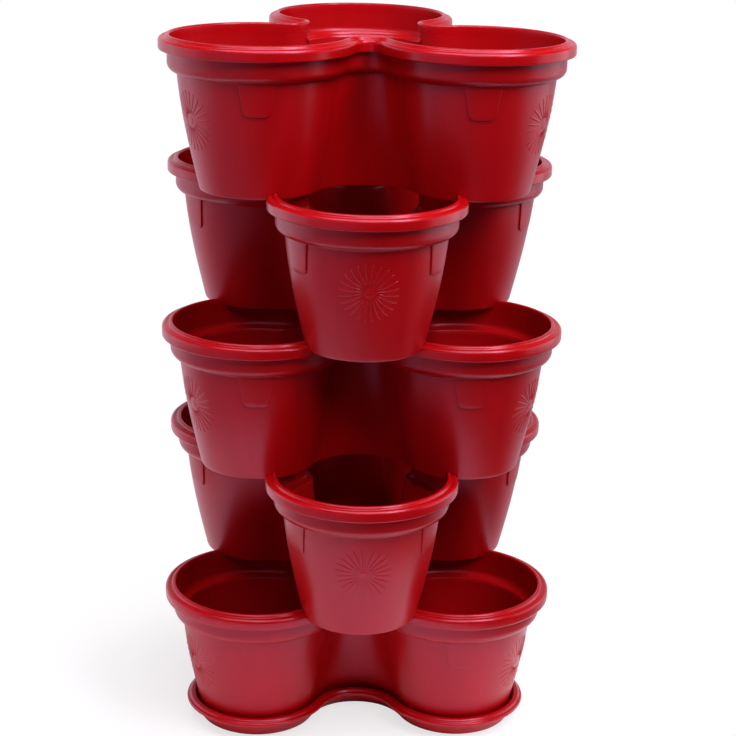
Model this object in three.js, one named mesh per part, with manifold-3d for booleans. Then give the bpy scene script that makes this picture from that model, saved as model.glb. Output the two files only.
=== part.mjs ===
// Vertical planter tower: a clover saucer, five clover pots that stand on each other,
// each turned half a lobe's step from the one below, and a drain grid in each pot.
// Millimetres, +Z up. The origin is on the tower's axis, on the surface that the saucer stands on.
import * as THREE from 'three';
import { mergeVertices } from 'three/addons/utils/BufferGeometryUtils.js';
import Module from 'manifold-3d';

const wasm = await Module();
wasm.setup();

// The tower
const POT_COUNT = 5;
const LOBE_COUNT = 3;
const LOBE_REACH = 110; // from the axis to the middle of a lobe
const SEAT_GAP = 0.3; // between pieces that rest on each other

// A pot, from its bottom edge up
const POT_HEIGHT = 136.5; // to the top of the lip inside the rim
const FLOOR_RISE = 7.2; // the skirt under the floor, which passes down over the rim below
const FLOOR_THICKNESS = 3.5;
const WALL = 2.5;
const BASE_LOBE = 52.8; // outer radius of a lobe at the bottom edge
const SHOULDER_LOBE = 72.1; // outer radius of a lobe at the top of the tapered wall
const BAND_LOBE = 80.4;
const RIM_LOBE = 88;
// The hollow arc between two lobes has half the lobes' gap as its radius, and this much more.
const BASE_HOLLOW_ROUND = 6.6;
const RIM_HOLLOW_ROUND = 2.9;
const WALL_BOW_SHARE = 0.5; // how far the tapered wall leans from a straight line to a sine
const STEP_HEIGHT = 8; // the rounded step from the wall out to the band
const BAND_HEIGHT = 11.6;
const RIM_HEIGHT = 12.9;
const RIM_FALL = 4.2; // from the lip down to the top of the rim's outer face
const RIM_ROUND = 2;

// The slots in the skirt, where the rim of the pot below passes through
const SLOT_HEADROOM = 2.7;
const SLOT_CLEARANCE = 2;

// The raised tabs under the band, two on each lobe
const TAB_ANGLE = THREE.MathUtils.degToRad(59.5); // from the lobe's outward direction
const TAB_TOP_WIDTH = 32;
const TAB_BOTTOM_WIDTH = 22;
const TAB_HEIGHT = 29;
const TAB_RAISE = 1.3;
const TAB_ROOT_SHARE = 0.8; // how deep in the wall a tab is rooted, as a share of the wall

// The arched web across the mouth of one lobe
const WEB_DROP = 10.5; // from the lip's top to the web's top
const WEB_HEIGHT = 6.5;
const WEB_THICKNESS = 3;

// The drain opening in the floor and the grid that lies over it
const DRAIN_RADIUS = 24;
const GRID_LAP = 9; // how far the grid reaches past the opening
const GRID_THICKNESS = 2;
const GRID_SLOTS = 8;
const GRID_SLOT_WIDTH = 5;
const GRID_SLOT_TAPER_SHARE = 0.5; // a slot's inner width, as a share of its outer width
const GRID_HUB_RADIUS = 6;
const COLLAR_CLEARANCE = 1;
const COLLAR_DEPTH = 3;
const COLLAR_WALL = 2;

// The saucer
const SAUCER_FLOOR = 2;
const SAUCER_CLEARANCE = 1.2; // around the bottom edge of the pot that stands in it
const SAUCER_CORNER = 4.5; // width of the slope under its bottom edge
const SAUCER_CORNER_HEIGHT = 2.5;
const SAUCER_RIM_LOBE = 68.5;
const SAUCER_HOLLOW_ROUND = 8.6;
const SAUCER_HEIGHT = 19.3;
const SAUCER_WALL = 2.2;
const SAUCER_FLANGE = 6; // width of the flat rim
const SAUCER_LIP = 4.5; // height of the rim's outer face

// Fineness of the round shapes
const LOBE_FACE_STEPS = 4; // over the outward part of a lobe, where its points reach the tower's full width
const LOBE_FLANK_STEPS = 5;
const NOTCH_STEPS = 4;
const WALL_STEPS = 3;
const ROUNDED_STEP_STEPS = 2;
const TAB_STEPS = 4;
const TAB_ROWS = 2;
const WEB_STEPS = 12;
const ROUND_STEPS = 20;
const OVERRUN = 1; // how far a cut runs past the face that it opens

const plastic = (color, roughness) => new THREE.MeshStandardMaterial({ color, roughness, metalness: 0 });

// The heights of a pot's profile above its bottom edge
const slotTop = FLOOR_RISE + SLOT_HEADROOM;
const floorTop = FLOOR_RISE + FLOOR_THICKNESS;
const rimBottom = POT_HEIGHT - RIM_HEIGHT;
const rimTop = POT_HEIGHT - RIM_FALL;
const bandBottom = rimBottom - BAND_HEIGHT;
const wallTop = bandBottom - STEP_HEIGHT;

// Where the middles of two neighbouring lobes lie, seen from the middle of their line
const halfStep = Math.PI / LOBE_COUNT;
const faceSweep = halfStep / 2;
const pairReach = LOBE_REACH * Math.cos(halfStep);
const pairHalf = LOBE_REACH * Math.sin(halfStep);

// The radius of the hollow arc between two lobes
const hollowOf = (lobe, round) => Math.max(pairHalf - lobe, 0) + round;
const potHollow = (lobe) => hollowOf(
  lobe, THREE.MathUtils.mapLinear(lobe, BASE_LOBE, RIM_LOBE, BASE_HOLLOW_ROUND, RIM_HOLLOW_ROUND));

// From the axis to the middle of the hollow arc that touches both lobes
const hollowReach = (lobe, hollow) => pairReach + Math.sqrt((lobe + hollow) ** 2 - pairHalf ** 2);

function wallLobe(z) {
  const share = z / wallTop;
  const bow = Math.sin((share * Math.PI) / 2);
  const lean = THREE.MathUtils.lerp(share, bow, WALL_BOW_SHARE);
  return THREE.MathUtils.lerp(BASE_LOBE, SHOULDER_LOBE, lean);
}

// One round of the clover outline at height z: lobes as arcs, joined by hollow arcs.
// Each lobe's arc is in three parts, so that it has points at the tower's widest places.
function cloverRing(lobe, hollow, z, turn = 0) {
  const reach = hollowReach(lobe, hollow);
  const sweep = Math.atan2(reach * Math.sin(halfStep), reach * Math.cos(halfStep) - LOBE_REACH);
  const points = [];
  const addArc = (distance, angle, radius, from, to, steps, clockwise) => {
    const x = distance * Math.cos(angle);
    const y = distance * Math.sin(angle);
    const arc = new THREE.EllipseCurve(x, y, radius, radius, from, to, clockwise);
    for (const point of arc.getPoints(steps).slice(0, -1)) {
      points.push(new THREE.Vector3(point.x, point.y, z));
    }
  };
  for (let k = 0; k < LOBE_COUNT; k++) {
    const out = turn + 2 * k * halfStep;
    const next = out + 2 * halfStep;
    addArc(LOBE_REACH, out, lobe, out - sweep, out - faceSweep, LOBE_FLANK_STEPS, false);
    addArc(LOBE_REACH, out, lobe, out - faceSweep, out + faceSweep, LOBE_FACE_STEPS, false);
    addArc(LOBE_REACH, out, lobe, out + faceSweep, out + sweep, LOBE_FLANK_STEPS, false);
    addArc(reach, out + halfStep, hollow, out + sweep + Math.PI, next - sweep + Math.PI, NOTCH_STEPS, true);
  }
  return points;
}

// A closed solid through rings of equal point counts, capped at its first and last ring
function loft(rings) {
  const count = rings[0].length;
  const positions = rings.flat().flatMap((point) => [point.x, point.y, point.z]);
  const index = [];
  for (let r = 0; r + 1 < rings.length; r++) {
    for (let i = 0; i < count; i++) {
      const a = r * count + i;
      const b = r * count + ((i + 1) % count);
      index.push(a, b, b + count, a, b + count, a + count);
    }
  }
  const cap = (ring, offset, flip) => {
    const flat = ring.map((point) => new THREE.Vector2(point.x, point.y));
    for (const [a, b, c] of THREE.ShapeUtils.triangulateShape(flat, [])) {
      index.push(offset + a, offset + (flip ? c : b), offset + (flip ? b : c));
    }
  };
  cap(rings[0], 0, true);
  cap(rings[rings.length - 1], (rings.length - 1) * count, false);
  const geometry = new THREE.BufferGeometry();
  geometry.setAttribute('position', new THREE.Float32BufferAttribute(positions, 3));
  geometry.setIndex(index);
  return geometry;
}

function toSolid(geometry) {
  const bare = geometry.clone();
  bare.deleteAttribute('normal');
  bare.deleteAttribute('uv');
  const merged = mergeVertices(bare);
  const vertProperties = new Float32Array(merged.attributes.position.array);
  const triVerts = new Uint32Array(merged.index.array);
  return new wasm.Manifold(new wasm.Mesh({ numProp: 3, vertProperties, triVerts }));
}

function toGeometry(solid) {
  const mesh = solid.getMesh();
  const geometry = new THREE.BufferGeometry();
  geometry.setAttribute('position', new THREE.BufferAttribute(mesh.vertProperties, mesh.numProp));
  geometry.setIndex(new THREE.BufferAttribute(mesh.triVerts, 1));
  geometry.computeVertexNormals();
  return geometry;
}

// A prism that stands on height z
function prism(shape, z, height, steps = ROUND_STEPS) {
  const geometry = new THREE.ExtrudeGeometry(shape, { depth: height, bevelEnabled: false, curveSegments: steps / 2 });
  return geometry.translate(0, 0, z);
}

function cylinder(radius, z, height) {
  const geometry = new THREE.CylinderGeometry(radius, radius, height, ROUND_STEPS);
  return geometry.rotateX(Math.PI / 2).translate(0, 0, z + height / 2);
}

// The pot's shell as one chain of rings: from under the floor, down inside the skirt,
// up the outside, over the rim and down the inside to the floor
function potShell() {
  const outer = (lobe, z) => cloverRing(lobe, potHollow(lobe), z);
  const inner = (lobe, z) => cloverRing(lobe - WALL, potHollow(lobe) + WALL, z);
  const wallHeights = [];
  for (let k = 1; k < WALL_STEPS; k++) {
    wallHeights.push((wallTop * k) / WALL_STEPS);
  }
  const quarter = [];
  for (let k = 0; k <= ROUNDED_STEP_STEPS; k++) {
    quarter.push((Math.PI / 2) * (k / ROUNDED_STEP_STEPS));
  }
  const stepLobe = (angle) => THREE.MathUtils.lerp(SHOULDER_LOBE, BAND_LOBE, Math.sin(angle));
  return toSolid(loft([
    inner(wallLobe(FLOOR_RISE), FLOOR_RISE),
    inner(BASE_LOBE, 0),
    outer(BASE_LOBE, 0),
    ...wallHeights.map((z) => outer(wallLobe(z), z)),
    ...quarter.map((a) => outer(stepLobe(a), bandBottom - STEP_HEIGHT * Math.cos(a))),
    outer(BAND_LOBE, rimBottom),
    outer(RIM_LOBE, rimBottom),
    outer(RIM_LOBE, rimTop),
    outer(RIM_LOBE - RIM_ROUND, rimTop + RIM_ROUND),
    outer(BAND_LOBE, POT_HEIGHT),
    inner(BAND_LOBE, POT_HEIGHT),
    ...quarter.map((a) => inner(stepLobe(a), bandBottom - (STEP_HEIGHT - WALL) * Math.cos(a))).reverse(),
    ...wallHeights.map((z) => inner(wallLobe(z), z)).reverse(),
    inner(wallLobe(floorTop), floorTop),
  ]));
}

// What is cut from the skirt so that the rim of the pot below, turned half a step, passes through it
function slotCut() {
  const rim = (z) => cloverRing(RIM_LOBE + SLOT_CLEARANCE, potHollow(RIM_LOBE) - SLOT_CLEARANCE, z, halfStep);
  const away = WALL + SLOT_CLEARANCE;
  const bore = (z) => cloverRing(BAND_LOBE - away, potHollow(BAND_LOBE) + away, z, halfStep);
  const slotLobe = wallLobe(slotTop);
  const floor = (z) => cloverRing(slotLobe - WALL, potHollow(slotLobe) + WALL, z);
  const ring = toSolid(loft([rim(-OVERRUN), rim(slotTop)]));
  const middle = toSolid(loft([bore(-2 * OVERRUN), bore(slotTop + OVERRUN)]));
  const kept = toSolid(loft([floor(FLOOR_RISE), floor(slotTop + OVERRUN)]));
  return ring.subtract(middle).subtract(kept);
}

// A trapezium plate that follows the wall of the lobe on +X, turned by angle about the lobe's middle
function tab(angle) {
  const rings = [];
  for (let row = 0; row <= TAB_ROWS; row++) {
    const share = row / TAB_ROWS;
    const z = wallTop - TAB_HEIGHT * (1 - share);
    const width = THREE.MathUtils.lerp(TAB_BOTTOM_WIDTH, TAB_TOP_WIDTH, share);
    const lobe = wallLobe(z);
    const half = width / (2 * lobe);
    const ring = [];
    const addSide = (radius, from, to) => {
      for (let k = 0; k <= TAB_STEPS; k++) {
        const a = THREE.MathUtils.lerp(from, to, k / TAB_STEPS);
        ring.push(new THREE.Vector3(LOBE_REACH + radius * Math.cos(a), radius * Math.sin(a), z));
      }
    };
    addSide(lobe + TAB_RAISE, angle - half, angle + half);
    addSide(lobe - TAB_ROOT_SHARE * WALL, angle + half, angle - half);
    rings.push(ring);
  }
  return loft(rings);
}

// The arched bar that links the tips of the two hollows beside the lobe on +X
function web() {
  const hollow = potHollow(BAND_LOBE);
  const tip = hollowReach(BAND_LOBE, hollow) - hollow - WALL;
  const shape = new THREE.Shape();
  shape.absarc(0, 0, tip + WEB_THICKNESS / 2, -halfStep, halfStep, false);
  shape.absarc(0, 0, tip - WEB_THICKNESS / 2, halfStep, -halfStep, true);
  return prism(shape, POT_HEIGHT - WEB_DROP - WEB_HEIGHT, WEB_HEIGHT, WEB_STEPS);
}

function potGeometry() {
  let solid = potShell();
  for (let k = 0; k < LOBE_COUNT; k++) {
    const turn = 2 * k * halfStep;
    for (const side of [-1, 1]) {
      solid = solid.add(toSolid(tab(side * TAB_ANGLE).rotateZ(turn)));
    }
  }
  solid = solid.add(toSolid(web()));
  solid = solid.subtract(slotCut());
  solid = solid.subtract(toSolid(cylinder(DRAIN_RADIUS, 0, floorTop + OVERRUN)));
  return toGeometry(solid);
}

// A slotted disc that lies over the drain opening, with a collar that reaches down into it
function gridGeometry() {
  const radius = DRAIN_RADIUS + GRID_LAP;
  const disc = new THREE.Shape().absarc(0, 0, radius, 0, 2 * Math.PI, false);
  const collarRadius = DRAIN_RADIUS - COLLAR_CLEARANCE;
  const collarBore = collarRadius - COLLAR_WALL;
  const slotEnd = collarBore - GRID_SLOT_WIDTH / 2;
  for (let k = 0; k < GRID_SLOTS; k++) {
    const angle = (2 * Math.PI * k) / GRID_SLOTS;
    const hole = new THREE.Path();
    const outward = new THREE.Vector2(Math.cos(angle), Math.sin(angle));
    const across = new THREE.Vector2(-outward.y, outward.x).multiplyScalar(GRID_SLOT_WIDTH / 2);
    const start = outward.clone().multiplyScalar(GRID_HUB_RADIUS);
    const end = outward.clone().multiplyScalar(slotEnd);
    const narrow = across.clone().multiplyScalar(GRID_SLOT_TAPER_SHARE);
    hole.setFromPoints([
      start.clone().sub(narrow),
      end.clone().sub(across),
      end.clone().add(across),
      start.clone().add(narrow),
    ]);
    disc.holes.push(hole);
  }
  const plate = toSolid(prism(disc, 0, GRID_THICKNESS));
  const collar = new THREE.Shape().absarc(0, 0, collarRadius, 0, 2 * Math.PI, false);
  collar.holes.push(new THREE.Path().absarc(0, 0, collarBore, 0, 2 * Math.PI, false));
  const ring = toSolid(prism(collar, -COLLAR_DEPTH, COLLAR_DEPTH + GRID_THICKNESS / 2));
  return toGeometry(plate.add(ring));
}

// The saucer: a flat floor round the pot's foot, a flared wall and a flat rim with a thick edge
function saucerGeometry() {
  const rimHollow = hollowOf(SAUCER_RIM_LOBE, SAUCER_HOLLOW_ROUND);
  const rim = (inset, z) => cloverRing(SAUCER_RIM_LOBE - inset, rimHollow + inset, z);
  const foot = (grow, z) => cloverRing(BASE_LOBE + grow, potHollow(BASE_LOBE) - grow, z);
  const outside = SAUCER_CLEARANCE + SAUCER_WALL;
  const lipBottom = SAUCER_HEIGHT - SAUCER_LIP;
  return loft([
    foot(outside - SAUCER_CORNER, 0),
    foot(outside, SAUCER_CORNER_HEIGHT),
    rim(SAUCER_FLANGE, lipBottom),
    rim(0, lipBottom),
    rim(0, SAUCER_HEIGHT),
    rim(SAUCER_FLANGE + SAUCER_WALL, SAUCER_HEIGHT),
    foot(SAUCER_CLEARANCE, SAUCER_FLOOR),
  ]);
}

const tower = new THREE.Group();
const potShape = potGeometry();
const gridShape = gridGeometry();

const saucer = new THREE.Mesh(saucerGeometry(), plastic(0xa01822, 0.42));
saucer.name = 'saucer';
saucer.rotation.z = Math.PI / 2;
tower.add(saucer);

const potPitch = POT_HEIGHT + SEAT_GAP - FLOOR_RISE;
for (let tier = 1; tier <= POT_COUNT; tier++) {
  const stack = new THREE.Group();
  stack.position.z = SAUCER_FLOOR + SEAT_GAP + (tier - 1) * potPitch;
  stack.rotation.z = Math.PI / 2 + ((tier - 1) % 2) * halfStep;
  const pot = new THREE.Mesh(potShape, plastic(0xa5101a, 0.45));
  pot.name = `tier_${tier}_pot`;
  const grid = new THREE.Mesh(gridShape, plastic(0x8a0e16, 0.5));
  grid.name = `tier_${tier}_drain_grid`;
  grid.position.z = floorTop + SEAT_GAP;
  stack.add(pot, grid);
  tower.add(stack);
}

export default tower;
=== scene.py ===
import math

import bmesh
import bpy
from mathutils import Matrix, Vector


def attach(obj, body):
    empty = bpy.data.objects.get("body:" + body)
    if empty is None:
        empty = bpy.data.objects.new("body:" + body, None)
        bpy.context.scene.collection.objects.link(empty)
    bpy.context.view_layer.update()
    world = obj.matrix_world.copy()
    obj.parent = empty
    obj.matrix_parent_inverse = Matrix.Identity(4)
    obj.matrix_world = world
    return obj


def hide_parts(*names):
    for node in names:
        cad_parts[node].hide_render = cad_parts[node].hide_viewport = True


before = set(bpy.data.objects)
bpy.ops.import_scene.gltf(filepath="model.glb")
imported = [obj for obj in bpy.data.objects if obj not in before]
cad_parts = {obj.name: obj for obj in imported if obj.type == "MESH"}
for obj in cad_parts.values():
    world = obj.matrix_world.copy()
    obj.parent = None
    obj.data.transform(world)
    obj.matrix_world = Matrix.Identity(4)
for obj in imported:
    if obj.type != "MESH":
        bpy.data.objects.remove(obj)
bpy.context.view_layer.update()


# --- The camera ---
# It stands in front of the tower and above its top, a little to the left,
# and is tipped by about a degree, as the picture was taken.
camera_distance = 1.7465
camera_height_angle = 0.31125
camera_side_angle = -0.04826
camera_tip = 0.02113
camera_aim = Vector((0, 0, 0.3340))
camera_shift = 0.00874

camera_data = bpy.data.cameras.new("camera")
camera_data.lens = 89.25
camera_data.sensor_width = 36
camera_data.clip_start = 0.05
camera_data.clip_end = 40
camera = bpy.data.objects.new("camera", camera_data)
bpy.context.scene.collection.objects.link(camera)
bpy.context.scene.camera = camera
bpy.context.scene.view_settings.view_transform = "Standard"

back = Vector((
    math.sin(camera_side_angle) * math.cos(camera_height_angle),
    -math.cos(camera_side_angle) * math.cos(camera_height_angle),
    math.sin(camera_height_angle),
))
level = (-back).cross(Vector((0, 0, 1))).normalized()
upright = level.cross(-back)
across = math.cos(camera_tip) * level + math.sin(camera_tip) * upright
upward = -math.sin(camera_tip) * level + math.cos(camera_tip) * upright
place = camera_aim + back * camera_distance + level * camera_shift
camera.matrix_world = Matrix.Translation(place) @ Matrix((across, upward, back)).transposed().to_4x4()


# --- The floor, the room and the lamps ---
# A round white table that glows from below towards its edge, its middle to the left of the
# tower and in front, in a room that is pale low down behind the tower and dim elsewhere, with
# soft lamps above and at the sides.
floor_colour = (0.93, 0.90, 0.96, 1)
floor_radius = 0.42
floor_middle = (-0.08, -0.06, 0)
floor_fade_from = 0.2
floor_least_fade = 0.7
floor_glow = 0.45
glow_from = 0.12
glow_full = 0.34

floor_mesh = bpy.data.meshes.new("floor")
shape = bmesh.new()
bmesh.ops.create_circle(shape, cap_ends=True, radius=floor_radius, segments=96)
shape.to_mesh(floor_mesh)
shape.free()
floor = bpy.data.objects.new("floor", floor_mesh)
floor.location = floor_middle
bpy.context.scene.collection.objects.link(floor)

card = bpy.data.materials.new("white_card")
card.use_nodes = True
nodes, links = card.node_tree.nodes, card.node_tree.links
nodes.clear()
position = nodes.new("ShaderNodeTexCoord")
distance = nodes.new("ShaderNodeVectorMath")
distance.operation = "LENGTH"
fade = nodes.new("ShaderNodeMapRange")
fade.interpolation_type = "SMOOTHSTEP"
fade.inputs["From Min"].default_value = floor_fade_from
fade.inputs["From Max"].default_value = floor_radius
fade.inputs["To Min"].default_value = floor_least_fade
seen = nodes.new("ShaderNodeLightPath")
seen_far = nodes.new("ShaderNodeMath")
seen_far.operation = "MULTIPLY"
matt = nodes.new("ShaderNodeBsdfDiffuse")
matt.inputs["Color"].default_value = floor_colour
lit_below = nodes.new("ShaderNodeEmission")
more_glow = nodes.new("ShaderNodeMapRange")
more_glow.interpolation_type = "SMOOTHSTEP"
more_glow.inputs["From Min"].default_value = glow_from
more_glow.inputs["From Max"].default_value = glow_full
more_glow.inputs["To Max"].default_value = floor_glow
table = nodes.new("ShaderNodeAddShader")
bright = nodes.new("ShaderNodeEmission")
bright.inputs["Color"].default_value = (1, 1, 1, 1)
bright.inputs["Strength"].default_value = 1
mixed = nodes.new("ShaderNodeMixShader")
output = nodes.new("ShaderNodeOutputMaterial")
links.new(position.outputs["Object"], distance.inputs[0])
links.new(distance.outputs["Value"], fade.inputs["Value"])
links.new(distance.outputs["Value"], more_glow.inputs["Value"])
links.new(more_glow.outputs["Result"], lit_below.inputs["Strength"])
links.new(fade.outputs["Result"], seen_far.inputs[0])
links.new(seen.outputs["Is Camera Ray"], seen_far.inputs[1])
links.new(seen_far.outputs["Value"], mixed.inputs["Fac"])
links.new(matt.outputs["BSDF"], table.inputs[0])
links.new(lit_below.outputs["Emission"], table.inputs[1])
links.new(table.outputs["Shader"], mixed.inputs[1])
links.new(bright.outputs["Emission"], mixed.inputs[2])
links.new(mixed.outputs["Shader"], output.inputs["Surface"])
floor_mesh.materials.append(card)

# The room's light comes from low down: most of it from behind, some from the left and least
# from the right. What it lights takes a cool tint, but the camera sees it plain white.
room_tint = (0.94, 0.85, 1, 1)
room_least = 0.05
room_back_more = 0.7
room_left_more = 0.45
room_above_share = 0.10

room = bpy.data.worlds.new("room")
bpy.context.scene.world = room
room.use_nodes = True
nodes, links = room.node_tree.nodes, room.node_tree.links
nodes.clear()
direction = nodes.new("ShaderNodeTexCoord")
split = nodes.new("ShaderNodeSeparateXYZ")
links.new(direction.outputs["Generated"], split.inputs["Vector"])


def by_direction(axis, low, high, at_low, at_high):
    """A level that goes softly from one value to another along an axis of the room."""
    level_of = nodes.new("ShaderNodeMapRange")
    level_of.interpolation_type = "SMOOTHSTEP"
    level_of.inputs["From Min"].default_value = low
    level_of.inputs["From Max"].default_value = high
    level_of.inputs["To Min"].default_value = at_low
    level_of.inputs["To Max"].default_value = at_high
    links.new(split.outputs[axis], level_of.inputs["Value"])
    return level_of.outputs["Result"]


from_behind = nodes.new("ShaderNodeMath")
from_behind.operation = "ADD"
low_light = nodes.new("ShaderNodeMath")
low_light.operation = "MULTIPLY"
room_back = room_least + room_back_more
back_level = by_direction("Y", low=-0.1, high=0.6, at_low=room_least, at_high=room_back)
left_level = by_direction("X", low=-0.8, high=0.2, at_low=room_left_more, at_high=0)
low_level = by_direction("Z", low=0.15, high=0.65, at_low=1, at_high=room_above_share)
links.new(back_level, from_behind.inputs[0])
links.new(left_level, from_behind.inputs[1])
links.new(from_behind.outputs["Value"], low_light.inputs[0])
links.new(low_level, low_light.inputs[1])

seen = nodes.new("ShaderNodeLightPath")
strength = nodes.new("ShaderNodeMix")
strength.data_type = "FLOAT"
strength.inputs["B"].default_value = 1
cool = nodes.new("ShaderNodeMix")
cool.data_type = "RGBA"
cool.inputs[6].default_value = room_tint
cool.inputs[7].default_value = (1, 1, 1, 1)
glow = nodes.new("ShaderNodeBackground")
output = nodes.new("ShaderNodeOutputWorld")
links.new(low_light.outputs["Value"], strength.inputs["A"])
links.new(seen.outputs["Is Camera Ray"], strength.inputs["Factor"])
links.new(strength.outputs["Result"], glow.inputs["Strength"])
links.new(seen.outputs["Is Camera Ray"], cool.inputs["Factor"])
links.new(cool.outputs[2], glow.inputs["Color"])
links.new(glow.outputs["Background"], output.inputs["Surface"])


def soft_lamp(name, place, aim, width, height, watts):
    """A flat soft lamp that shines from place towards aim."""
    data = bpy.data.lights.new(name, "AREA")
    data.shape = "RECTANGLE"
    data.size = width
    data.size_y = height
    data.energy = watts
    lamp = bpy.data.objects.new(name, data)
    bpy.context.scene.collection.objects.link(lamp)
    lamp.location = place
    lamp.rotation_mode = "QUATERNION"
    lamp.rotation_quaternion = (Vector(aim) - Vector(place)).to_track_quat("-Z", "Y")


tower_middle = (0, 0, 0.35)
soft_lamp("top_lamp", (0, -0.5, 2.0), tower_middle, width=2.0, height=0.9, watts=29)
soft_lamp("top_right_lamp", (0.8, -0.7, 1.9), tower_middle, width=0.6, height=0.6, watts=10)
soft_lamp("front_lamp", (0, -1.6, 2.0), (0, 0, 0.4), width=1.0, height=0.6, watts=11)
soft_lamp("right_lamp", (1.2, -1.4, 1.8), tower_middle, width=0.7, height=0.7, watts=17)
soft_lamp("side_lamp", (1.5, 0.1, 0.55), tower_middle, width=1.4, height=1.2, watts=7.5)
soft_lamp("left_lamp", (-1.5, 0.1, 0.55), tower_middle, width=1.4, height=1.2, watts=4.2)


# --- The saucer ---
# A shallow clover dish that the tower stands on, moulded in one piece from the pots' red plastic:
# a flat bottom, a low flared wall and a broad rim with a rolled edge. The lowest pot rests in it.
mm = 0.001
lobe_reach = 110
pot_foot_lobe = 52.8
pot_rim_lobe = 88
foot_hollow_round = 6.6
rim_hollow_round = 2.9
saucer_floor = 2
saucer_clearance = 1.2
saucer_wall = 2.2
saucer_corner = 4.5
saucer_corner_height = 2.5
saucer_rim_lobe = 68.5
saucer_hollow_round = 8.6
saucer_height = 22.3
saucer_flange = 6
saucer_lip = 6.3
lobe_columns = 60
hollow_columns = 20

pair_reach = lobe_reach * math.cos(math.pi / 3)
pair_half = lobe_reach * math.sin(math.pi / 3)


def clover(lobe, hollow, turn):
    """The clover outline as points: three lobe arcs, joined by arcs that curve the other way."""
    reach = pair_reach + math.sqrt((lobe + hollow) ** 2 - pair_half ** 2)
    sweep = math.atan2(reach * math.sin(math.pi / 3), reach * math.cos(math.pi / 3) - lobe_reach)
    points = []
    for k in range(3):
        out = turn + k * math.tau / 3
        for i in range(lobe_columns):
            a = out - sweep + 2 * sweep * i / lobe_columns
            points.append(Vector((
                lobe_reach * math.cos(out) + lobe * math.cos(a),
                lobe_reach * math.sin(out) + lobe * math.sin(a),
            )))
        between = out + math.pi / 3
        for i in range(hollow_columns):
            a = out + sweep + math.pi + (math.tau / 3 - 2 * sweep) * i / hollow_columns
            points.append(Vector((
                reach * math.cos(between) + hollow * math.cos(a),
                reach * math.sin(between) + hollow * math.sin(a),
            )))
    return points


def set_round(ring, points, height):
    """Moves one round of points onto an outline at a height."""
    for vert, point in zip(ring, points):
        vert.co = Vector((point.x * mm, point.y * mm, height * mm))


def first_round(bm, points, height):
    """One closed round of points and its edges."""
    ring = bmesh.ops.create_circle(bm, cap_ends=False, radius=1, segments=len(points))["verts"]
    ring.sort(key=lambda vert: math.atan2(vert.co.y, vert.co.x) % math.tau)
    edges = [edge for edge in bm.edges if edge.verts[0] in ring and edge.verts[1] in ring]
    set_round(ring, points, height)
    return ring, edges


def next_round(bm, ring, edges, points, height):
    """Extrudes a round of edges onto the next outline up the profile."""
    made = bmesh.ops.extrude_edge_only(bm, edges=edges)["geom"]
    new_verts = {vert for vert in made if isinstance(vert, bmesh.types.BMVert)}
    new_edges = [
        edge for edge in made
        if isinstance(edge, bmesh.types.BMEdge) and all(vert in new_verts for vert in edge.verts)
    ]
    follow = []
    for vert in ring:
        beside = (edge.other_vert(vert) for edge in vert.link_edges)
        follow.append(next(other for other in beside if other in new_verts))
    set_round(follow, points, height)
    return follow, new_edges


def through_rounds(bm, rounds):
    """A skin through a list of (outline, height), and its first and last round."""
    ring, edges = first_round(bm, *rounds[0])
    first_edges = list(edges)
    for points, height in rounds[1:]:
        ring, edges = next_round(bm, ring, edges, points, height)
    return first_edges, edges


def close_flat(bm, *loops):
    """Closes flat faces over loops of edges, each over one outline and what lies inside it."""
    for edges in loops:
        bmesh.ops.triangle_fill(bm, use_beauty=True, edges=edges)


sharp_edge = math.radians(38)


def finish_mesh(bm, name, material, body):
    """Turns a shape into a smooth piece of the tower and puts it on its body."""
    bmesh.ops.remove_doubles(bm, verts=bm.verts, dist=1e-7)
    bmesh.ops.recalc_face_normals(bm, faces=bm.faces)
    mesh = bpy.data.meshes.new(name)
    bm.to_mesh(mesh)
    bm.free()
    mesh.polygons.foreach_set("use_smooth", [True] * len(mesh.polygons))
    mesh.set_sharp_from_angle(angle=sharp_edge)
    mesh.materials.append(material)
    piece = bpy.data.objects.new(name, mesh)
    bpy.context.scene.collection.objects.link(piece)
    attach(piece, body)
    return piece


# The finish that the moulded plastic shares: a fine grain from the mould's skin.
grain = bpy.data.node_groups.new("mould_grain", "ShaderNodeTree")
grain.interface.new_socket(name="Vector", in_out="INPUT", socket_type="NodeSocketVector")
grain.interface.new_socket(name="Fineness", in_out="INPUT", socket_type="NodeSocketFloat")
grain.interface.new_socket(name="Height", in_out="OUTPUT", socket_type="NodeSocketFloat")
grain.interface.new_socket(name="Patches", in_out="OUTPUT", socket_type="NodeSocketFloat")
nodes, links = grain.nodes, grain.links
inward = nodes.new("NodeGroupInput")
outward = nodes.new("NodeGroupOutput")
pores = nodes.new("ShaderNodeTexNoise")
pores.inputs["Detail"].default_value = 3
pores.inputs["Roughness"].default_value = 0.6
cloud = nodes.new("ShaderNodeTexNoise")
cloud.inputs["Scale"].default_value = 14
cloud.inputs["Detail"].default_value = 2
links.new(inward.outputs["Vector"], pores.inputs["Vector"])
links.new(inward.outputs["Fineness"], pores.inputs["Scale"])
links.new(inward.outputs["Vector"], cloud.inputs["Vector"])
links.new(pores.outputs["Fac"], outward.inputs["Height"])
links.new(cloud.outputs["Fac"], outward.inputs["Patches"])

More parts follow.
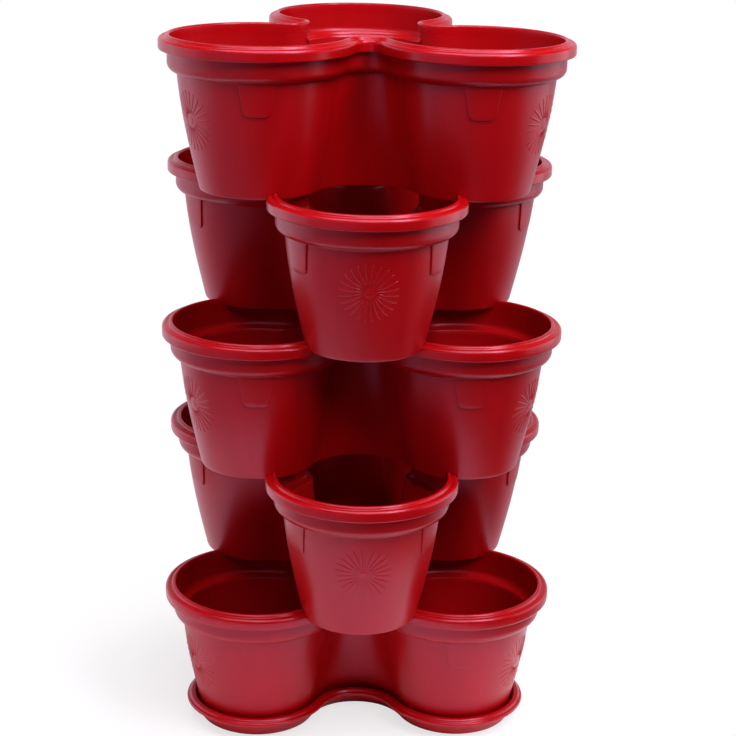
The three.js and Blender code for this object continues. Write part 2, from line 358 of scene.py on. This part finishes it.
# Where the plastic froze as it flowed into the mould, its colour runs in faint upright streaks.
flow = bpy.data.node_groups.new("flow_streaks", "ShaderNodeTree")
flow.interface.new_socket(name="Vector", in_out="INPUT", socket_type="NodeSocketVector")
flow.interface.new_socket(name="Streaks", in_out="OUTPUT", socket_type="NodeSocketFloat")
nodes, links = flow.nodes, flow.links
inward = nodes.new("NodeGroupInput")
outward = nodes.new("NodeGroupOutput")
stretch = nodes.new("ShaderNodeMapping")
stretch.inputs["Scale"].default_value = (55, 55, 5)
streak = nodes.new("ShaderNodeTexNoise")
streak.inputs["Scale"].default_value = 1
streak.inputs["Detail"].default_value = 2
links.new(inward.outputs["Vector"], stretch.inputs["Vector"])
links.new(stretch.outputs["Vector"], streak.inputs["Vector"])
links.new(streak.outputs["Fac"], outward.inputs["Streaks"])


def mark_polish(bm, low):
    """Marks the points above a height, where a polished mould makes the plastic glossier."""
    layer = bm.verts.layers.float.get("polish") or bm.verts.layers.float.new("polish")
    for vert in bm.verts:
        vert[layer] = 1 if vert.co.z > low * mm else 0


def moulded_plastic(name, low_color, high_color, low_rough, high_rough, polish_rough, grain_depth):
    """Satin moulded plastic with grain, faint streaks, slightly glossier patches and polished rims."""
    material = bpy.data.materials.new(name)
    material.use_nodes = True
    nodes, links = material.node_tree.nodes, material.node_tree.links
    nodes.clear()
    where = nodes.new("ShaderNodeTexCoord")
    pores = nodes.new("ShaderNodeGroup")
    pores.node_tree = grain
    pores.inputs["Fineness"].default_value = 1500
    streaks = nodes.new("ShaderNodeGroup")
    streaks.node_tree = flow
    shades = nodes.new("ShaderNodeMapRange")
    shades.interpolation_type = "SMOOTHSTEP"
    shades.inputs["From Min"].default_value = 0.2
    shades.inputs["From Max"].default_value = 0.8
    tint = nodes.new("ShaderNodeMix")
    tint.data_type = "RGBA"
    tint.inputs[6].default_value = (*low_color, 1)
    tint.inputs[7].default_value = (*high_color, 1)
    rough = nodes.new("ShaderNodeMapRange")
    rough.interpolation_type = "SMOOTHSTEP"
    rough.inputs["From Min"].default_value = 0.2
    rough.inputs["From Max"].default_value = 0.8
    rough.inputs["To Min"].default_value = low_rough
    rough.inputs["To Max"].default_value = high_rough
    polished = nodes.new("ShaderNodeAttribute")
    polished.attribute_name = "polish"
    finish = nodes.new("ShaderNodeMix")
    finish.data_type = "FLOAT"
    finish.inputs["B"].default_value = polish_rough
    bump = nodes.new("ShaderNodeBump")
    bump.inputs["Strength"].default_value = 0.35
    bump.inputs["Distance"].default_value = grain_depth
    plastic = nodes.new("ShaderNodeBsdfPrincipled")
    plastic.inputs["IOR"].default_value = 1.5
    plastic.inputs["Specular IOR Level"].default_value = 0.43
    plastic.inputs["Specular Tint"].default_value = (1, 0.66, 1, 1)
    output = nodes.new("ShaderNodeOutputMaterial")
    links.new(where.outputs["Object"], pores.inputs["Vector"])
    links.new(where.outputs["Object"], streaks.inputs["Vector"])
    links.new(streaks.outputs["Streaks"], shades.inputs["Value"])
    links.new(shades.outputs["Result"], tint.inputs["Factor"])
    links.new(tint.outputs[2], plastic.inputs["Base Color"])
    links.new(pores.outputs["Patches"], rough.inputs["Value"])
    links.new(rough.outputs["Result"], finish.inputs["A"])
    links.new(polished.outputs["Fac"], finish.inputs["Factor"])
    links.new(finish.outputs["Result"], plastic.inputs["Roughness"])
    links.new(pores.outputs["Height"], bump.inputs["Height"])
    links.new(bump.outputs["Normal"], plastic.inputs["Normal"])
    links.new(plastic.outputs["BSDF"], output.inputs["Surface"])
    return material


red_plastic = moulded_plastic(
    "red_plastic", low_color=(0.36, 0.0010, 0.0022), high_color=(0.40, 0.0014, 0.0030),
    low_rough=0.30, high_rough=0.345, polish_rough=0.25, grain_depth=0.00010)


def pot_hollow(lobe):
    """The radius of the hollow arc between two lobes of a pot, from the lobes' own radius."""
    share = (lobe - pot_foot_lobe) / (pot_rim_lobe - pot_foot_lobe)
    return max(pair_half - lobe, 0) + foot_hollow_round + (rim_hollow_round - foot_hollow_round) * share


def saucer_rounds():
    """The saucer's section as rounds, from the middle of its underside over the rim to its floor."""
    turn = math.pi / 2
    rim_hollow = max(pair_half - saucer_rim_lobe, 0) + saucer_hollow_round
    outside = saucer_clearance + saucer_wall

    def foot(grow, z):
        return clover(pot_foot_lobe + grow, pot_hollow(pot_foot_lobe) - grow, turn), z

    def rim(inset, z):
        return clover(saucer_rim_lobe - inset, rim_hollow + inset, turn), z

    lip_bottom = saucer_height - saucer_lip
    return [
        foot(outside - saucer_corner - 8, 0),
        foot(outside - saucer_corner - 0.6, 0),
        foot(outside - saucer_corner + 1.2, 0.4),
        foot(outside - 1, saucer_corner_height - 0.7),
        foot(outside - 0.25, saucer_corner_height + 0.5),
        rim(saucer_flange + 0.9, lip_bottom - 1.2),
        rim(saucer_flange + 0.2, lip_bottom - 0.25),
        rim(saucer_flange - 0.8, lip_bottom),
        rim(1.2, lip_bottom),
        rim(0.35, lip_bottom + 0.3),
        rim(0, lip_bottom + 1.1),
        rim(0, saucer_height - 4.4),
        rim(0.25, saucer_height - 3.6),
        rim(0.8, saucer_height - 2.9),
        rim(1.6, saucer_height - 2.7),
        rim(2.2, saucer_height - 2.5),
        rim(2.6, saucer_height - 1.9),
        rim(3.0, saucer_height - 1.1),
        rim(3.7, saucer_height - 0.4),
        rim(4.6, saucer_height),
        rim(saucer_flange + saucer_wall - 1.4, saucer_height),
        rim(saucer_flange + saucer_wall - 0.5, saucer_height - 0.3),
        rim(saucer_flange + saucer_wall + 0.2, saucer_height - 1.2),
        foot(saucer_clearance + 0.6, saucer_floor + 2.2),
        foot(saucer_clearance - 0.3, saucer_floor + 0.5),
        foot(saucer_clearance - 1.6, saucer_floor),
        foot(saucer_clearance - 9, saucer_floor),
    ]


shape = bmesh.new()
under_edges, dish_edges = through_rounds(shape, saucer_rounds())
close_flat(shape, under_edges, dish_edges)
mark_polish(shape, saucer_height - saucer_lip - 0.1)
saucer = finish_mesh(shape, "saucer_dish", red_plastic, "saucer")
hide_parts("saucer")


# --- The pots ---
# Five equal clover pots, each moulded in one piece of red plastic: tapered walls that swell a
# little, a rounded step out to a plain band, a heavy rim with a raised inner lip, and a floor
# above a skirt. Each stands with its floor on the rim of the pot below, turned by a sixth.
pot_height = 136.5
floor_rise = 7.2
floor_thickness = 3.5
wall = 2.5
shoulder_lobe = 72.1
band_lobe = 80.4
wall_bow = 0.5
step_height = 8
band_bottom = 112
rim_bottom = 123.6
wall_top = band_bottom - step_height
floor_top = floor_rise + floor_thickness
drain_radius = 24
drain_bevel = 0.6
seat_gap = 0.3
pot_pitch = pot_height + seat_gap - floor_rise
foot_height = saucer_floor + seat_gap


def wall_lobe(z):
    """The outer radius of a lobe of the tapered wall at a height."""
    share = min(max(z / wall_top, 0), 1)
    lean = share + (math.sin(share * math.pi / 2) - share) * wall_bow
    return pot_foot_lobe + (shoulder_lobe - pot_foot_lobe) * lean


def pot_round(lobe, inset, z):
    """One round of the pot's section: a lobe's outer radius, how far inside it, and the height."""
    return clover(lobe - inset, pot_hollow(lobe) + inset, 0), z


circle_columns = 96


def circle_round(radius, z):
    """One round of a shape that is round about the tower's axis: its radius and the height."""
    angles = [i * math.tau / circle_columns for i in range(circle_columns)]
    return [Vector((radius * math.cos(a), radius * math.sin(a))) for a in angles], z


def step_round(degrees, inset):
    """One round of the rounded step between the tapered wall and the band."""
    a = math.radians(degrees)
    lobe = shoulder_lobe + (band_lobe - shoulder_lobe) * math.sin(a)
    return pot_round(lobe, inset, band_bottom - (step_height - inset) * math.cos(a))


# The rim from its underside over the top to the raised lip: the lobe's radius and the height.
rim_section = (
    (80.55, 123.5), (81, 123.6), (83, 123.6), (85.6, 123.6), (86.9, 123.65), (87.6, 123.9),
    (87.92, 124.4), (88, 125.1), (88, 128), (88, 130.4), (87.95, 131.3), (87.7, 132.2), (87.2, 133),
    (86.5, 133.65), (85.7, 134.05), (84.9, 134.2), (84.1, 134.1), (83.4, 133.85), (82.8, 133.8),
    (82.4, 134.05), (82.1, 134.7), (81.75, 135.5), (81.2, 136.1), (80.6, 136.42),
)
# The lip's top and the inside of the band: how far inside the band's outer face, and the height.
lip_section = (
    (0.4, 136.5), (1, 136.48), (1.6, 136.3), (2.1, 135.95), (2.4, 135.4), (wall, 134.6),
    (wall, 130), (wall, 122), (wall, 114),
)
# The skirt's lower edge: how far inside the foot's outer face, and the height.
foot_section = ((wall - 0.15, 0.35), (wall - 0.6, 0), (0.7, 0), (0.25, 0.2), (0, 0.7))
# The rounded corner where the wall meets the floor: how far inside the outer face, and the height.
corner_section = (
    (wall + 0.25, 11.7), (wall + 0.9, 11), (wall + 1.9, floor_top), (wall + 2.5, floor_top),
)
outer_wall_heights = (1.6, 4, 8, 14, 22, 30, 38, 46, 54, 62, 70, 78, 86, 93, 99, 102.4)
inner_wall_heights = (105.4, 102, 94, 84, 72, 60, 48, 36, 24, 16, 13)


def pot_section():
    """The whole section, from the floor's underside round to its top."""
    rounds = [pot_round(wall_lobe(floor_rise), inset, floor_rise) for inset in (wall + 2, wall + 1.4)]
    rounds += [pot_round(wall_lobe(z), wall, z) for z in (floor_rise - 0.8, 3.5, 1)]
    rounds += [pot_round(pot_foot_lobe, inset, z) for inset, z in foot_section]
    rounds += [pot_round(wall_lobe(z), 0, z) for z in outer_wall_heights]
    rounds += [pot_round(shoulder_lobe, 0, 103.3), pot_round(shoulder_lobe + 0.3, 0, 103.85)]
    rounds += [step_round(degrees, 0) for degrees in (6, 14, 24, 34, 44, 54, 64, 74, 84, 90)]
    rounds += [pot_round(band_lobe, 0, z) for z in (113.5, 118, 122.4, 123.2)]
    rounds += [pot_round(lobe, 0, z) for lobe, z in rim_section]
    rounds += [pot_round(band_lobe, inset, z) for inset, z in lip_section]
    rounds += [step_round(degrees, wall) for degrees in (90, 75, 60, 45, 30, 15, 4)]
    rounds += [pot_round(wall_lobe(z), wall, z) for z in inner_wall_heights]
    rounds += [pot_round(wall_lobe(floor_top), inset, z) for inset, z in corner_section]
    return rounds


def loose_object(bm, name):
    """A shape as an object outside the tower, for a cut."""
    bmesh.ops.recalc_face_normals(bm, faces=bm.faces)
    mesh = bpy.data.meshes.new(name)
    bm.to_mesh(mesh)
    bm.free()
    piece = bpy.data.objects.new(name, mesh)
    bpy.context.scene.collection.objects.link(piece)
    return piece


def cut_away(piece, tool):
    """Cuts tool's shape out of piece for good."""
    cut = piece.modifiers.new("cut", "BOOLEAN")
    cut.operation = "DIFFERENCE"
    cut.solver = "EXACT"
    cut.object = tool
    view = bpy.context.evaluated_depsgraph_get()
    done = bpy.data.meshes.new_from_object(piece.evaluated_get(view))
    piece.modifiers.clear()
    old = piece.data
    piece.data = done
    bpy.data.meshes.remove(old)
    bpy.data.objects.remove(tool)


shape = bmesh.new()
under_edges, floor_edges = through_rounds(shape, pot_section())
under_bore, floor_bore = through_rounds(shape, [
    circle_round(drain_radius + drain_bevel, floor_rise),
    circle_round(drain_radius, floor_rise + drain_bevel),
    circle_round(drain_radius, floor_top - drain_bevel),
    circle_round(drain_radius + drain_bevel, floor_top),
])
close_flat(shape, under_edges + under_bore, floor_edges + floor_bore)
pot_blank = loose_object(shape, "pot_blank")

# The slots in the skirt, where the rim of the pot below passes under the floor. That pot is
# turned by a sixth, and the slots' outline follows its rim: the lobe's radius and the height.
slot_turn = math.pi / 3
slot_top = 7.25
slot_bottom = -1
slot_outline = (
    (88.15, slot_bottom), (88.15, 1.0), (88.1, 1.9), (87.85, 2.8), (87.35, 3.6), (86.6, 4.28),
    (85.75, 4.68), (84.9, 4.82), (84.0, 4.8), (82.9, 4.75), (82.35, 5.3), (81.95, 6.1),
    (81.4, 6.75), (80.8, slot_top),
)
slot_bore = 77.55

shape = bmesh.new()
slot_rounds = [(clover(lobe, pot_hollow(lobe), slot_turn), z) for lobe, z in slot_outline]
bore_outline = clover(slot_bore, pot_hollow(band_lobe) + band_lobe - slot_bore, slot_turn)
slot_rounds += [(bore_outline, slot_top), (bore_outline, slot_bottom)]
first_edges, last_edges = through_rounds(shape, slot_rounds)
bmesh.ops.bridge_loops(shape, edges=first_edges + last_edges)
slot_tool = loose_object(shape, "slot_tool")

# Inside the skirt the slots' shape ends just under the floor, so that no two faces lie in one plane.
under_floor_gap = 0.05
shape = bmesh.new()
slot_lobe = wall_lobe(slot_top)
first_edges, last_edges = through_rounds(shape, [
    pot_round(slot_lobe, wall, floor_rise - under_floor_gap), pot_round(slot_lobe, wall, slot_top + 1)])
close_flat(shape, first_edges, last_edges)
cut_away(slot_tool, loose_object(shape, "floor_keep"))
cut_away(pot_blank, slot_tool)

# The tabs under the step, two on each lobe: low plates with rounded lower corners and soft edges.
tab_angle = math.radians(59.5)
tab_top_width = 32
tab_bottom_width = 22
tab_height = 29
tab_raise = 1.3
tab_root = 1.6
tab_corner = 4.5
tab_edge = 0.28
tab_cuts_across = range(-12, 13, 3)
tab_cuts_up = range(80, 104, 6)


def bend_onto_lobe(verts, angle):
    """Wraps flat points round the wall of the lobe on +X: X goes round it, Y up it and Z out of it."""
    for vert in verts:
        round_by, z, out = vert.co
        radius = wall_lobe(z) + out
        a = angle + round_by / wall_lobe(z)
        vert.co = Vector((lobe_reach + radius * math.cos(a), radius * math.sin(a), z)) * mm


def cut_lines(bm, places, direction):
    """Cuts edges across a shape, at places along a direction, so that it can bend there."""
    for place in places:
        parts = list(bm.verts) + list(bm.edges) + list(bm.faces)
        bmesh.ops.bisect_plane(
            bm, geom=parts, dist=1e-5, plane_co=Vector(direction) * place, plane_no=direction)


def turn_shape(bm, angle):
    """Turns a shape about the tower's axis."""
    bmesh.ops.rotate(bm, verts=bm.verts, cent=(0, 0, 0), matrix=Matrix.Rotation(angle, 3, "Z"))


def join_shape(bm, part):
    """Adds a part's shape to bm."""
    held = bpy.data.meshes.new("part")
    part.to_mesh(held)
    part.free()
    bm.from_mesh(held)
    bpy.data.meshes.remove(held)


def add_tab(bm, angle):
    """One tab, rooted in the wall."""
    plate = bmesh.new()
    bmesh.ops.create_grid(plate, x_segments=1, y_segments=1, size=0.5)
    for vert in plate.verts:
        top = vert.co.y > 0
        width = tab_top_width if top else tab_bottom_width
        up = wall_top + 0.4 if top else wall_top - tab_height
        vert.co = Vector((vert.co.x * width, up, -tab_root))
    lower = [vert for vert in plate.verts if vert.co.y < wall_top - 1]
    bmesh.ops.bevel(
        plate, geom=lower, offset=tab_corner, offset_type="OFFSET", segments=7, profile=0.5,
        affect="VERTICES", material=-1)
    raised = bmesh.ops.extrude_face_region(plate, geom=list(plate.faces))["geom"]
    top_verts = [part for part in raised if isinstance(part, bmesh.types.BMVert)]
    bmesh.ops.translate(plate, verts=top_verts, vec=(0, 0, tab_root + tab_raise))
    top_edges = [
        edge for edge in plate.edges
        if all(v.co.z > 0 for v in edge.verts) and not all(v.co.y > wall_top for v in edge.verts)
    ]
    bmesh.ops.bevel(
        plate, geom=top_edges, offset=tab_edge, offset_type="OFFSET", segments=3, profile=0.5,
        affect="EDGES", material=-1)
    cut_lines(plate, tab_cuts_across, (1, 0, 0))
    cut_lines(plate, tab_cuts_up, (0, 1, 0))
    bend_onto_lobe(plate.verts, angle)
    bmesh.ops.recalc_face_normals(plate, faces=plate.faces)
    join_shape(bm, plate)


# The plain sunburst in low relief on the outward face of each lobe: narrow ridges round a button.
burst_rays = 24
burst_height = 65.5
burst_inner = 6
burst_outer = 27
burst_half_width = 1.9
burst_middle_share = 0.35
burst_crest_share = 0.3
burst_crest_length = 0.93
burst_raise = 0.3
burst_root = 0.25
burst_cuts = 8
button_foot = 4.4
button_top = 3.2
button_raise = 0.2
button_cuts = (-3, -1.5, 0, 1.5, 3)


def add_burst(bm):
    """The ridges and the button of one sunburst, rooted in the wall of the lobe on +X."""
    half_length = (burst_outer - burst_inner) / 2
    for k in range(burst_rays):
        ray = bmesh.new()
        bmesh.ops.create_cone(
            ray, cap_ends=True, segments=20, radius1=1, radius2=burst_crest_share,
            depth=burst_root + burst_raise)
        for vert in ray.verts:
            low = vert.co.z < 0
            share = vert.co.x if low else vert.co.x * burst_crest_length / burst_crest_share
            along = burst_inner + half_length * (1 + share)
            narrowing = burst_middle_share + (1 - burst_middle_share) * along / burst_outer
            aside = vert.co.y * burst_half_width * narrowing
            vert.co = Vector((along, aside, -burst_root if low else burst_raise))
        cuts = [burst_inner + 2 * half_length * cut / burst_cuts for cut in range(1, burst_cuts)]
        cut_lines(ray, cuts, (1, 0, 0))
        turn_shape(ray, (k + 0.5) * math.tau / burst_rays)
        bmesh.ops.translate(ray, verts=ray.verts, vec=(0, burst_height, 0))
        bend_onto_lobe(ray.verts, 0)
        bmesh.ops.recalc_face_normals(ray, faces=ray.faces)
        join_shape(bm, ray)
    button = bmesh.new()
    bmesh.ops.create_cone(
        button, cap_ends=True, segments=24, radius1=button_foot, radius2=button_top,
        depth=burst_root + button_raise)
    cut_lines(button, button_cuts, (1, 0, 0))
    cut_lines(button, button_cuts, (0, 1, 0))
    button_middle = (0, burst_height, (button_raise - burst_root) / 2)
    bmesh.ops.translate(button, verts=button.verts, vec=button_middle)
    bend_onto_lobe(button.verts, 0)
    bmesh.ops.recalc_face_normals(button, faces=button.faces)
    join_shape(bm, button)


# The web across the mouth of one lobe: a bar on an arc about the tower's middle. Its side
# towards the middle slopes back to the top, with a fine groove half way up.
web_top = 125.2
web_height = 5.7
web_thickness = 4.2
web_sweep = math.pi / 3


def add_web(bm):
    """The bar, spun about the tower's axis from one hollow's tip to the other."""
    band_hollow = pot_hollow(band_lobe)
    tip = pair_reach + math.sqrt((band_lobe + band_hollow) ** 2 - pair_half ** 2) - band_hollow - wall
    near, far = tip - web_thickness / 2, tip + web_thickness / 2
    low = web_top - web_height
    outline = [
        (near + 0.3, low), (near, low + 0.3), (near + 0.15, low + 0.9), (near + 1.8, low + 2.95),
        (near + 2.0, low + 3.0), (near + 2.1, low + 3.3), (far - 0.5, web_top - 0.15),
        (far - 0.2, web_top), (far, web_top - 0.3), (far, low + 0.4), (far - 0.3, low),
    ]
    bar = bmesh.new()
    points = [bar.verts.new(Vector((radius, 0, z)) * mm) for radius, z in outline]
    face = bar.faces.new(points)
    turn_shape(bar, -web_sweep)
    bmesh.ops.spin(
        bar, geom=[face] + list(face.edges) + list(face.verts), cent=(0, 0, 0), axis=(0, 0, 1),
        angle=2 * web_sweep, steps=48, use_merge=False)
    bmesh.ops.recalc_face_normals(bar, faces=bar.faces)
    mark_polish(bar, low - 1)
    join_shape(bm, bar)


shape = bmesh.new()
shape.from_mesh(pot_blank.data)
bmesh.ops.remove_doubles(shape, verts=shape.verts, dist=2e-6)
mark_polish(shape, rim_bottom - 0.2)
lobe_trim = bmesh.new()
add_tab(lobe_trim, -tab_angle)
add_tab(lobe_trim, tab_angle)
add_burst(lobe_trim)
trim_mesh = bpy.data.meshes.new("lobe_trim")
lobe_trim.to_mesh(trim_mesh)
lobe_trim.free()
for k in range(3):
    turned = bmesh.new()
    turned.from_mesh(trim_mesh)
    turn_shape(turned, k * math.tau / 3)
    join_shape(shape, turned)
bpy.data.meshes.remove(trim_mesh)
add_web(shape)
pot_mesh = bpy.data.meshes.new("pot")
shape.to_mesh(pot_mesh)
shape.free()
bpy.data.objects.remove(pot_blank)


def shape_on_tier(mesh, tier, height):
    """A copy of a shape, turned like the pot of its tier and raised to a height over that pot's foot."""
    bm = bmesh.new()
    bm.from_mesh(mesh)
    turn_shape(bm, math.pi / 2 if tier % 2 else math.pi * 5 / 6)
    lift = (foot_height + (tier - 1) * pot_pitch + height) * mm
    bmesh.ops.translate(bm, verts=bm.verts, vec=(0, 0, lift))
    return bm


for tier in range(1, 6):
    shape = shape_on_tier(pot_mesh, tier, 0)
    pot = finish_mesh(shape, f"pot_{tier}", red_plastic, f"tier_{tier}")
    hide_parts(f"tier_{tier}_pot")
bpy.data.meshes.remove(pot_mesh)


# --- The drain grids ---
# A loose slotted disc of darker red plastic in each pot, which lies over the drain opening
# and keeps the soil in. A short collar under it reaches into the opening.
grid_plastic = moulded_plastic(
    "grid_plastic", low_color=(0.24, 0.003, 0.006), high_color=(0.28, 0.004, 0.008),
    low_rough=0.30, high_rough=0.345, polish_rough=0.25, grain_depth=0.00008)
grid_edge = drain_radius + 9
grid_thickness = 2
grid_hub = 6
grid_slots = 8
grid_slot_width = 5
grid_slot_inner_width = 2.5
grid_slot_corner = 0.9
collar_radius = drain_radius - 1
collar_bore = collar_radius - 2
collar_depth = 3
collar_edge = 0.4
grid_section = (
    (grid_hub, grid_thickness), (grid_edge - 1, grid_thickness), (grid_edge - 0.3, grid_thickness - 0.2),
    (grid_edge, grid_thickness - 0.7), (grid_edge, 0.5), (grid_edge - 0.3, 0.1), (grid_edge - 0.8, 0),
    (collar_radius + collar_edge, 0), (collar_radius, -collar_edge),
    (collar_radius, collar_edge - collar_depth), (collar_radius - collar_edge, -collar_depth),
    (collar_bore + collar_edge, -collar_depth), (collar_bore, collar_edge - collar_depth),
    (collar_bore, -collar_edge), (collar_bore - collar_edge, 0), (grid_hub, 0),
)

shape = bmesh.new()
first_edges, last_edges = through_rounds(shape, [circle_round(radius, z) for radius, z in grid_section])
close_flat(shape, first_edges, last_edges)
grid_blank = loose_object(shape, "grid_blank")

shape = bmesh.new()
for k in range(grid_slots):
    slot = bmesh.new()
    bmesh.ops.create_grid(slot, x_segments=1, y_segments=1, size=0.5)
    for vert in slot.verts:
        inner = vert.co.x < 0
        width = grid_slot_inner_width if inner else grid_slot_width
        along = grid_hub if inner else collar_bore - grid_slot_width / 2
        vert.co = Vector((along, vert.co.y * width, -1)) * mm
    bmesh.ops.bevel(
        slot, geom=list(slot.verts), offset=grid_slot_corner * mm, offset_type="OFFSET", segments=4,
        profile=0.5, affect="VERTICES", material=-1)
    raised = bmesh.ops.extrude_face_region(slot, geom=list(slot.faces))["geom"]
    top_verts = [part for part in raised if isinstance(part, bmesh.types.BMVert)]
    bmesh.ops.translate(slot, verts=top_verts, vec=(0, 0, (grid_thickness + 2) * mm))
    turn_shape(slot, k * math.tau / grid_slots)
    join_shape(shape, slot)
cut_away(grid_blank, loose_object(shape, "grid_slots"))

for tier in range(1, 6):
    shape = shape_on_tier(grid_blank.data, tier, floor_top + seat_gap)
    grid = finish_mesh(shape, f"drain_grid_{tier}", grid_plastic, f"tier_{tier}_grid")
    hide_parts(f"tier_{tier}_drain_grid")
bpy.data.objects.remove(grid_blank)
